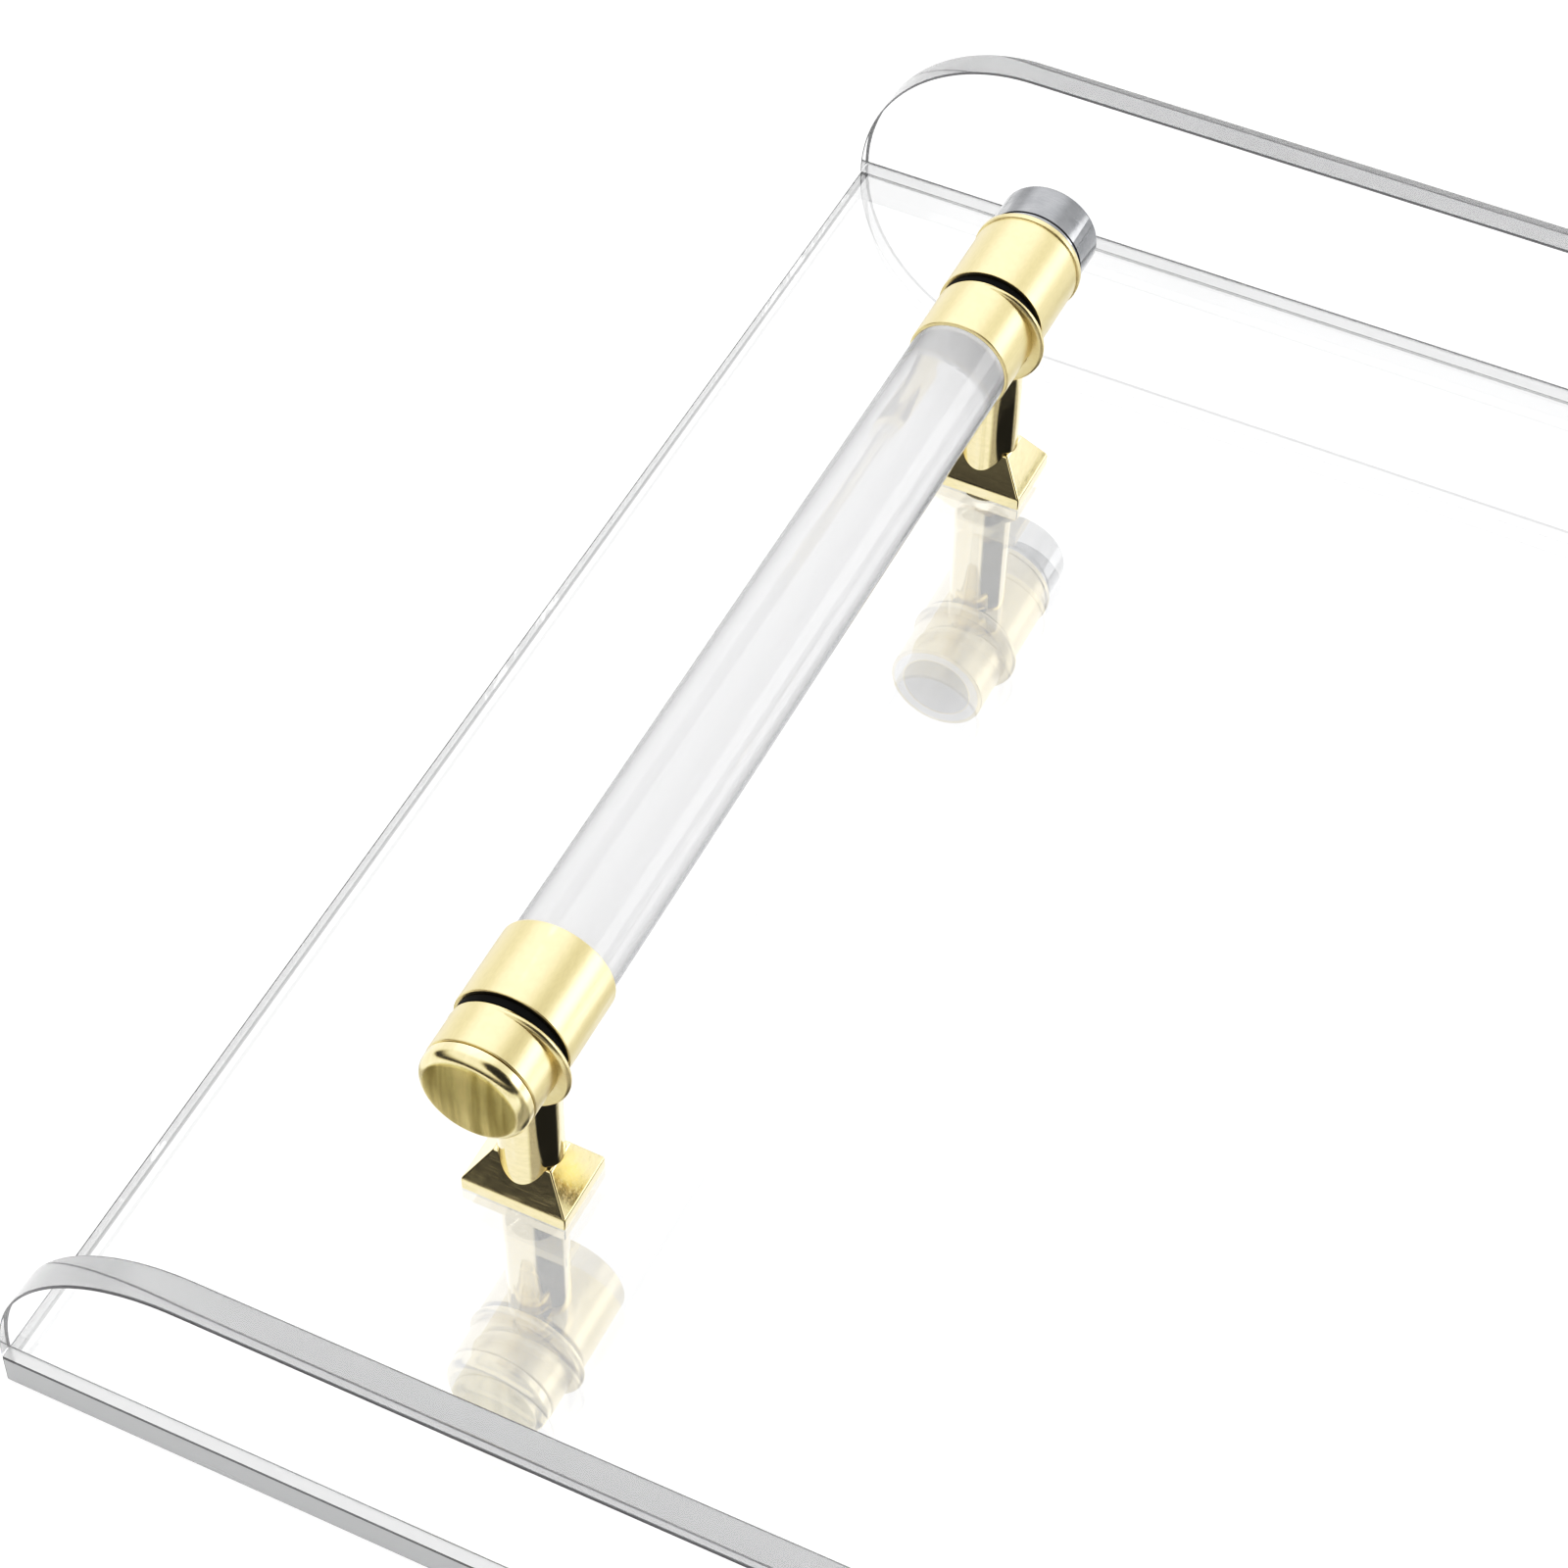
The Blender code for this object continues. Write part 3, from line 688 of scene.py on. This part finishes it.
def make_foot(bracket):
    """Tapered foot with an upright edge, four slopes and a socket for the post."""
    node = f"{bracket.name}_foot"
    low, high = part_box(node)
    low = low - Vector((*bracket.post.xy, bracket.sheet_top))
    high = high - Vector((*bracket.post.xy, bracket.sheet_top))
    bm = block((low.x, low.y, HAIRLINE), (high.x, high.y, FOOT_EDGE_HEIGHT))
    top = max(bm.faces, key=lambda face: face.calc_center_median().z)
    lifted = bmesh.ops.extrude_face_region(bm, geom=[top])["geom"]
    verts = [item for item in lifted if isinstance(item, bmesh.types.BMVert)]
    bmesh.ops.delete(bm, geom=[top], context="FACES_ONLY")
    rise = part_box(node)[1].z - bracket.sheet_top - FOOT_EDGE_HEIGHT
    bmesh.ops.translate(bm, vec=(0, 0, rise), verts=verts)
    taper = (FOOT_TOP_WIDTH / (high.x - low.x), FOOT_TOP_DEPTH / (high.y - low.y), 1)
    bmesh.ops.scale(bm, vec=taper, verts=verts)
    round_edges(bm, FOOT_EDGE_ROUND)
    foot = to_object("foot", bracket.stand_on_sheet(bm))
    socket = cylinder(bracket.radius("post") + HAIRLINE, FOOT_FLOOR, FOOT_EDGE_HEIGHT + 2 * rise)
    cut(foot, bracket.stand_on_sheet(socket))
    passage = cylinder(SCREW_HOLE_RADIUS, -FOOT_FLOOR, 2 * FOOT_FLOOR, SMALL_STEPS)
    cut(foot, bracket.stand_on_sheet(passage))
    finish_piece(foot, node, POLISHED_GOLD)


def make_post(bracket):
    """Round post with a hole for the screw, a saddled top and a spigot into the sleeve."""
    node = f"{bracket.name}_post"
    radius = bracket.radius("post")
    axis = bracket.axis_height - bracket.sheet_top
    bottom = FOOT_FLOOR + HAIRLINE
    bm = turned([(0, axis), (radius, axis), (radius, bottom), (SCREW_HOLE_RADIUS, bottom),
                 (SCREW_HOLE_RADIUS, SCREW_HOLE_TOP), (0, SCREW_HOLE_TOP)], steps=72)
    round_edges(bm, METAL_EDGE, wanted=lambda edge: edge.verts[0].co.z < axis / 2)
    post = to_object("post", bracket.stand_on_sheet(bm))
    sleeve = bracket.sleeve_radius
    saddle = cylinder(sleeve + HAIRLINE, -2 * radius, 2 * radius)
    cut(post, bracket.lay_along_rod(saddle))
    spigot = cylinder(POST_SPIGOT_RADIUS, axis - 2 * sleeve, axis - POST_SPIGOT_TOP, SMALL_STEPS)
    cut(post, bracket.stand_on_sheet(spigot), "UNION")
    finish_piece(post, node, POLISHED_GOLD)


def make_sleeve(bracket):
    """Ring round the rod's spigot, standing on the post."""
    node = f"{bracket.name}_sleeve"
    front, back, radius = bracket.sleeve_front, bracket.sleeve_back, bracket.sleeve_radius
    outline = [(radius, front), (BORE_RADIUS, front), (BORE_RADIUS, back)]
    if bracket.rim:
        rim_start = back - RIM_WIDTH
        outline += [(radius + bracket.rim, back), (radius + bracket.rim, rim_start),
                    (radius, rim_start)]
    else:
        outline.append((radius, back))
    bm = turned(outline, closed=True)
    round_edges(bm, METAL_EDGE / 2 if bracket.rim else METAL_EDGE, outside_bore)
    sleeve = to_object("sleeve", bracket.lay_along_rod(bm))
    axis = bracket.axis_height - bracket.sheet_top
    hole = cylinder(POST_SPIGOT_RADIUS + HAIRLINE, 0, axis, SMALL_STEPS)
    cut(sleeve, bracket.stand_on_sheet(hole))
    finish_piece(sleeve, node, SATIN_GOLD)


def make_washer(bracket):
    """Black rubber ring in the groove between collar and sleeve."""
    node = f"{bracket.name}_washer"
    radius = bracket.radius("washer")
    front, back = bracket.collar_back + HAIRLINE, bracket.sleeve_front - HAIRLINE
    bm = turned([(radius, front), (BORE_RADIUS, front), (BORE_RADIUS, back), (radius, back)],
                closed=True)
    round_edges(bm, WASHER_EDGE_ROUND, outside_bore)
    washer = to_object("washer", bracket.lay_along_rod(bm))
    finish_piece(washer, node, RUBBER)


def make_collar(bracket):
    """Collar in front of the washer, with a round-edged flange that hangs low and to one side."""
    node = f"{bracket.name}_collar"
    low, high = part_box(node)
    flange_radius = (high.x - low.x) / 2
    shift = (high.x + low.x) / 2 - bracket.post.x
    drop = bracket.axis_height - low.z - flange_radius
    front, back = bracket.collar_front, bracket.collar_back
    bm = turned([(BORE_RADIUS, back), (BORE_RADIUS, front), (COLLAR_RADIUS, front),
                 (COLLAR_RADIUS, back)], closed=True)
    round_edges(bm, METAL_EDGE, outside_bore)
    collar = to_object("collar", bracket.lay_along_rod(bm))
    bead = FLANGE_THICKNESS / 2
    clear_of_bore = 0.2 * MM
    inner = BORE_RADIUS + hypot(shift, drop) + clear_of_bore
    outline = arc(flange_radius - bead, back - bead, bead, -pi / 2, pi / 2, 10)
    outline += [(inner, back), (inner, back - FLANGE_THICKNESS)]
    flange = turned(outline, closed=True)
    cut(collar, bracket.lay_along_rod(flange, shift, drop), "UNION")
    finish_piece(collar, node, SATIN_GOLD)


def make_gold_cap(bracket):
    """Shallow domed cap with a rounded rim and a stud into the rod's end."""
    node = f"{bracket.name}_cap"
    radius = bracket.radius("cap")
    base = bracket.collar_front - HAIRLINE
    face = bracket.cap_face
    flat = radius - GOLD_CAP_CORNER
    rim = face + GOLD_CAP_BULGE
    dome = [(flat * share, face + GOLD_CAP_BULGE * share ** 2)
            for share in (0, 0.2, 0.4, 0.6, 0.8)]
    corner = arc(flat, rim + GOLD_CAP_CORNER, GOLD_CAP_CORNER, -pi / 2, 0, 10)
    outline = dome + corner + [(radius, base - METAL_EDGE), (radius - METAL_EDGE, base),
                               (STUD_RADIUS, base), (STUD_RADIUS, base + STUD_LENGTH),
                               (0, base + STUD_LENGTH)]
    cap = to_object("cap", bracket.lay_along_rod(turned(outline)))
    # its end face carries a painted reflection
    finish_piece(cap, node, BRUSHED_GOLD_PAINTED_FACE)


def make_silver_cap(bracket):
    """Longer cap with a base ring, a fine groove and a stud into the rod's end."""
    node = f"{bracket.name}_cap"
    radius = bracket.radius("cap")
    base = bracket.sleeve_back + HAIRLINE
    face = bracket.cap_face
    groove_low = base + 1.2 * MM
    groove_high = groove_low + 0.4 * MM
    groove = radius - 0.3 * MM
    flat = radius - SILVER_CAP_CORNER
    outline = [(0, base - STUD_LENGTH), (STUD_RADIUS, base - STUD_LENGTH), (STUD_RADIUS, base),
               (radius - METAL_EDGE / 2, base), (radius, base + METAL_EDGE / 2),
               (radius, groove_low), (groove, groove_low), (groove, groove_high),
               (radius, groove_high)]
    outline += arc(flat, face - SILVER_CAP_CORNER, SILVER_CAP_CORNER, 0, pi / 2, 8)
    outline.append((0, face))
    cap = to_object("cap", bracket.lay_along_rod(turned(outline)))
    finish_piece(cap, node, POLISHED_SILVER)


def make_screw(bracket):
    """Countersunk screw with a hexagon socket and a rolled thread."""
    node = f"{bracket.name}_screw"
    low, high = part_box(node)
    head = (high.x - low.x) / 2
    shank = head / 2
    root = shank - THREAD_DEPTH
    neck = low.z + head - shank
    turns = int((high.z - neck) / THREAD_PITCH) + 3
    start = neck - THREAD_PITCH
    zigzag = []
    for index in range(turns):
        height = start + index * THREAD_PITCH
        zigzag += [(root, height), (shank, height + 0.45 * THREAD_PITCH),
                   (shank, height + 0.55 * THREAD_PITCH)]
    zigzag.append((root, start + turns * THREAD_PITCH))
    bm = bmesh.new()
    verts = [bm.verts.new((radius, 0, height)) for radius, height in zigzag]
    edges = [bm.edges.new(pair) for pair in zip(verts, verts[1:])]
    bmesh.ops.spin(bm, geom=verts + edges, cent=(0, 0, 0), axis=(0, 0, 1), angle=2 * pi,
                   steps=SMALL_STEPS, dvec=(0, 0, THREAD_PITCH / SMALL_STEPS), use_merge=False)
    bmesh.ops.remove_doubles(bm, verts=bm.verts, dist=0.002 * MM)
    for height, side in ((neck - 0.2 * MM, -1), (high.z, 1)):
        everything = bm.verts[:] + bm.edges[:] + bm.faces[:]
        bmesh.ops.bisect_plane(bm, geom=everything, dist=0.0001 * MM, plane_co=(0, 0, height),
                               plane_no=(0, 0, side), clear_outer=True)
    bmesh.ops.holes_fill(bm, edges=[edge for edge in bm.edges if edge.is_boundary], sides=0)
    bmesh.ops.recalc_face_normals(bm, faces=bm.faces)
    screw = to_object("screw", bracket.centre_on_post(bm))
    head_bm = turned([(0, neck), (root, neck), (root, neck - 0.1 * MM), (shank, neck - 0.1 * MM),
                      (head, low.z + 0.15 * MM), (head, low.z), (0, low.z)], steps=SMALL_STEPS)
    cut(screw, bracket.centre_on_post(head_bm), "UNION")
    socket = cylinder(HEX_SOCKET_RADIUS, low.z - MM, low.z + HEX_SOCKET_DEPTH, 6)
    cut(screw, bracket.centre_on_post(socket))
    finish_piece(screw, node, ZINC)


# ---- studio ------------------------------------------------------------------------------
def inside(tree, value, limit, blur):
    """1 where a value lies between -limit and limit, falling to 0 outside."""
    return ramp(tree, maths(tree, "ABSOLUTE", value), limit - blur, limit + blur, 1.0, 0.0)


def blend(tree, mask, outside, within):
    """Two numbers or sockets mixed by a mask."""
    node = add(tree, "ShaderNodeMix", data_type="FLOAT")
    tree.links.new(mask, node.inputs[0])
    for socket, item in ((node.inputs[2], outside), (node.inputs[3], within)):
        if isinstance(item, float):
            socket.default_value = item
        else:
            tree.links.new(item, socket)
    return node.outputs[0]


def mirrored_table(tree, place, brackets):
    """How bright each place of the table looks in metal and in the acrylic's edges.

    Gives that level, and a mask that is 1 under the tray.
    """
    parts = add(tree, "ShaderNodeSeparateXYZ")
    tree.links.new(place, parts.inputs[0])
    x, y = parts.outputs["X"], parts.outputs["Y"]
    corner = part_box("base_plate")[1]
    behind_front = ramp(tree, y, -corner.y + FRONT_STRIP, -corner.y + FRONT_FADE)
    level = blend(tree, behind_front, TABLE_IN_FRONT, TABLE_MIRRORED)
    between_ends = inside(tree, x, corner.x - END_STRIP, TABLE_BLUR)
    level = blend(tree, between_ends, TABLE_AT_ENDS, level)
    for bracket in brackets:
        patch_x, patch_y = bracket.post.x + PATCH_AWAY, bracket.post.y
        patch = add(tree, "ShaderNodeMapping",
                    {"Location": (-patch_x / PATCH_REACH_X, -patch_y / PATCH_REACH_Y, 0),
                     "Scale": (1 / PATCH_REACH_X, 1 / PATCH_REACH_Y, 0)})
        tree.links.new(place, patch.inputs["Vector"])
        reach = add(tree, "ShaderNodeVectorMath", operation="LENGTH")
        tree.links.new(patch.outputs[0], reach.inputs[0])
        outside_patch = ramp(tree, reach.outputs["Value"], 0.85, 1.0)
        level = blend(tree, outside_patch, TABLE_BESIDE_POSTS, level)
    tray = maths(tree, "MULTIPLY", inside(tree, x, corner.x, TABLE_BLUR),
                 inside(tree, y, corner.y, TABLE_BLUR))
    return blend(tree, tray, TABLE_ROUND_TRAY, level), tray


def make_floor(brackets):
    """Pale table: it glows white to the eye, and is dimmer through the sheet and when mirrored."""
    bm = bmesh.new()
    bmesh.ops.create_grid(bm, x_segments=1, y_segments=1, size=6.0)
    bmesh.ops.translate(bm, verts=bm.verts, vec=(0, 0, -AIR_GAP))
    floor = to_object("floor", bm)
    material, tree, shader = new_material("pale_floor")
    shader.inputs["Roughness"].default_value = 0.6
    shader.inputs["Specular IOR Level"].default_value = 0.0
    shader.inputs["Base Color"].default_value = (0.45, 0.45, 0.45, 1.0)
    shader.inputs["Emission Color"].default_value = (1.0, 1.0, 1.0, 1.0)
    shader.inputs["Emission Strength"].default_value = FLOOR_GLOW
    path = add(tree, "ShaderNodeLightPath")
    place = add(tree, "ShaderNodeTexCoord").outputs["Object"]
    mirrored_level, tray = mirrored_table(tree, place, brackets)
    mirrored = maths(tree, "GREATER_THAN", path.outputs["Glossy Depth"], 0.5)
    glow = add(tree, "ShaderNodeEmission")
    glow.inputs["Color"].default_value = (1.0, 1.0, 1.0, 1.0)
    tree.links.new(blend(tree, mirrored, FLOOR_UNDER_SHEET, mirrored_level),
                   glow.inputs["Strength"])
    behind_acrylic = maths(tree, "GREATER_THAN", path.outputs["Transmission Depth"], 0.5)
    under_sheet = maths(tree, "MULTIPLY", behind_acrylic, tray)
    choose = add(tree, "ShaderNodeMixShader")
    tree.links.new(maths(tree, "MAXIMUM", mirrored, under_sheet), choose.inputs[0])
    tree.links.new(shader.outputs[0], choose.inputs[1])
    tree.links.new(glow.outputs[0], choose.inputs[2])
    tree.links.new(choose.outputs[0], tree.nodes["Material Output"].inputs["Surface"])
    floor.data.materials.append(material)


def pointing(tree, direction, way):
    """How nearly a direction points one way: 1 is straight there."""
    node = add(tree, "ShaderNodeVectorMath", operation="DOT_PRODUCT")
    node.inputs[1].default_value = Vector(way).normalized()
    tree.links.new(direction, node.inputs[0])
    return node.outputs["Value"]


def make_sky():
    """Soft white light from above and behind, strongest behind on the left.

    The low front is dark, and so is a card up on the right, which the posts mirror.
    """
    world = bpy.data.worlds.new("soft_studio")
    bpy.context.scene.world = world
    world.use_nodes = True
    tree = world.node_tree
    direction = add(tree, "ShaderNodeTexCoord").outputs["Generated"]
    parts = add(tree, "ShaderNodeSeparateXYZ")
    tree.links.new(direction, parts.inputs[0])
    above = ramp(tree, parts.outputs["Z"], 0.15, 0.6)
    behind = ramp(tree, parts.outputs["Y"], -0.05, 0.3)
    level = maths(tree, "MAXIMUM", above, behind)
    level = maths(tree, "ADD", maths(tree, "MULTIPLY", level, SKY_LEVEL), DARK_LEVEL)
    glow = ramp(tree, pointing(tree, direction, GLOW_WAY), 0.75, 0.95, 0.0, SKY_GLOW)
    level = maths(tree, "ADD", level, glow)
    card = ramp(tree, pointing(tree, direction, CARD_WAY), 0.80, 0.88, 1.0, CARD_LEVEL)
    level = maths(tree, "MULTIPLY", level, card)
    background = tree.nodes["Background"]
    tree.links.new(level, background.inputs["Strength"])
    background.inputs["Color"].default_value = (1.0, 1.0, 1.0, 1.0)


def make_softbox():
    """A soft lamp behind on the right, turned to the tray."""
    light = bpy.data.lights.new("side_softbox", "AREA")
    light.shape = "RECTANGLE"
    light.size, light.size_y = SOFTBOX_SIZE
    light.energy = SOFTBOX_POWER
    lamp = bpy.data.objects.new("side_softbox", light)
    bpy.context.scene.collection.objects.link(lamp)
    lamp.location = SOFTBOX_PLACE
    lamp.rotation_mode = "QUATERNION"
    aim = Vector(SOFTBOX_AIM) - Vector(SOFTBOX_PLACE)
    lamp.rotation_quaternion = aim.to_track_quat("-Z", "Y")
    lamp.visible_camera = False


def make_camera():
    """Camera in front of the tray and above it, aimed at the left handle."""
    camera = bpy.data.cameras.new("camera")
    camera.sensor_width = 36
    camera.lens = CAMERA_LENS
    camera.clip_start = 0.01
    camera.clip_end = 50
    obj = bpy.data.objects.new("camera", camera)
    bpy.context.scene.collection.objects.link(obj)
    right = Vector(CAMERA_RIGHT).normalized()
    back = right.cross(Vector(CAMERA_UP)).normalized()
    up = back.cross(right)
    obj.matrix_world = Matrix((right, up, back)).transposed().to_4x4()
    obj.location = CAMERA_PLACE
    bpy.context.scene.camera = obj


def set_tone():
    """Crisp tone: whites lift to clean white and darks deepen."""
    settings = bpy.context.scene.view_settings
    settings.view_transform = "Standard"
    settings.use_curve_mapping = True
    curve = settings.curve_mapping.curves[3]
    for level, shown in TONE_CURVE:
        curve.points.new(level, shown)
    curve.points[-1].location = TONE_WHITE
    settings.curve_mapping.update()


def main():
    make_camera()
    brackets = [Bracket(handle, end) for handle in HANDLES for end in BRACKET_ENDS]
    make_sheet(brackets)
    make_wall("front_wall")
    make_wall("rear_wall")
    for bracket in brackets:
        make_foot(bracket)
        make_post(bracket)
        make_sleeve(bracket)
        make_washer(bracket)
        make_collar(bracket)
        make_screw(bracket)
        if bracket.name.endswith("gold_end"):
            make_gold_cap(bracket)
        else:
            make_silver_cap(bracket)
    for index, handle in enumerate(HANDLES):
        make_rod(handle, brackets[2 * index], brackets[2 * index + 1])
    make_floor(brackets)
    make_sky()
    make_softbox()
    set_tone()


main()
